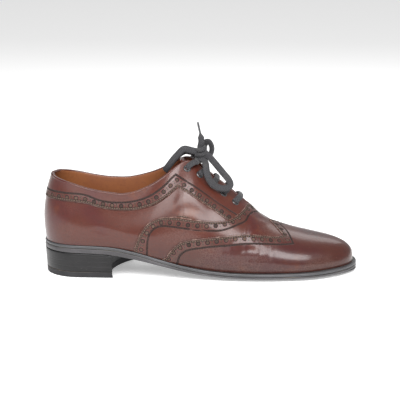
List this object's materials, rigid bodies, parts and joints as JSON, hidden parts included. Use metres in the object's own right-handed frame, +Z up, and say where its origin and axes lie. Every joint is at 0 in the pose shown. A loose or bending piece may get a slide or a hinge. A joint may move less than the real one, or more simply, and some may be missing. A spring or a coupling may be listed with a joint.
{
  "type": "brogue shoe",
  "caption": "Men's leather full brogue shoe for the right foot, wing tip and pinked vamp, closed lacing tied in a bow, on a welted sole with a low stacked heel.",
  "frame": {"origin": "on the floor, below the middle of the shoe's box", "axes": "+X from the heel to the toe, +Y towards the inner side of the foot, +Z up"},
  "size_m": [0.3024, 0.0994, 0.1453],
  "materials": {
    "leather": "polished brown leather with a burgundy burnish",
    "lining": "tan lining leather, matte",
    "sole": "black, satin",
    "heel": "black edge dressing, glossy",
    "top_piece": "black rubber, matte",
    "enamel": "black enamel",
    "lace": "waxed cotton, charcoal"
  },
  "bodies": {
    "root": {"eyelet_inner_1": "enamel", "eyelet_inner_2": "enamel", "eyelet_inner_3": "enamel", "eyelet_inner_4": "enamel", "eyelet_inner_5": "enamel", "eyelet_outer_1": "enamel", "eyelet_outer_2": "enamel", "eyelet_outer_3": "enamel", "eyelet_outer_4": "enamel", "eyelet_outer_5": "enamel", "heel_stack": "heel", "heel_top_piece": "top_piece", "insole": "lining", "lace_bar_1": "lace", "lace_bar_2": "lace", "lace_bar_3": "lace", "lace_bar_4": "lace", "lace_bar_5": "lace", "lace_end": "lace", "lace_knot": "lace", "lace_loop_back": "lace", "lace_loop_front": "lace", "lace_loop_top": "lace", "lace_tag": "lace", "outsole": "sole", "tongue": "leather", "upper": "leather", "welt": "sole"}
  },
  "joints": []
}
